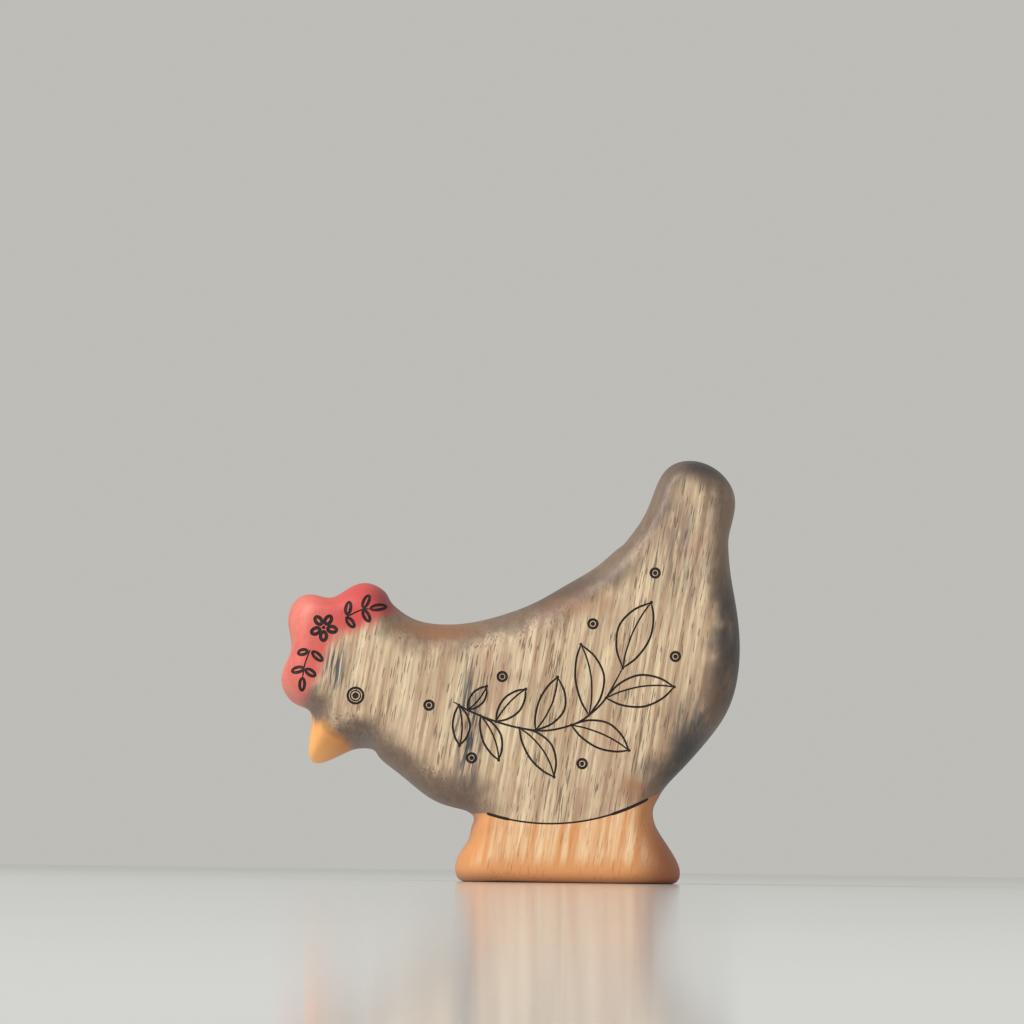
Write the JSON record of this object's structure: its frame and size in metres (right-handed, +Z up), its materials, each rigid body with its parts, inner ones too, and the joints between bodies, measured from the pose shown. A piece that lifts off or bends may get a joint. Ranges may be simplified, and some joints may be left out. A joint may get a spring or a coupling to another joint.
{
  "type": "wooden hen figurine",
  "caption": "Small solid wooden hen, rounded over and stained in zones, engraved with a leaf sprig, ring dots and eyes; stands on a flat foot block and has no moving parts",
  "frame": {"origin": "on the surface the hen stands on, under the middle of its outline and of its thickness", "axes": "+Z up, -X is where the hen looks, +X its tail, Y across its thickness with its left side at -Y"},
  "size_m": [0.0649, 0.02, 0.0598],
  "materials": {
    "feather_stain": "grey-brown stained open-pored hardwood, oiled, darker on the rounded edges",
    "comb_stain": "coral red stained hardwood, oiled",
    "beak_stain": "orange stained hardwood, oiled",
    "foot_stain": "warm amber stained hardwood, oiled",
    "char": "wood charred by a laser, matt"
  },
  "bodies": {
    "root": {"body": "feather_stain", "comb": "comb_stain", "beak": "beak_stain", "foot_block": "foot_stain", "eye_left": "char", "eye_right": "char", "wing_dots_left": "char", "wing_dots_right": "char", "sprig_stem_left": "char", "sprig_stem_right": "char", "sprig_leaves_left": "char", "sprig_leaves_right": "char", "comb_blossom_left": "char", "comb_blossom_right": "char", "comb_lower_twig_left": "char", "comb_lower_twig_right": "char", "comb_upper_twig_left": "char", "comb_upper_twig_right": "char", "hem_line_left": "char", "hem_line_right": "char"}
  },
  "joints": []
}
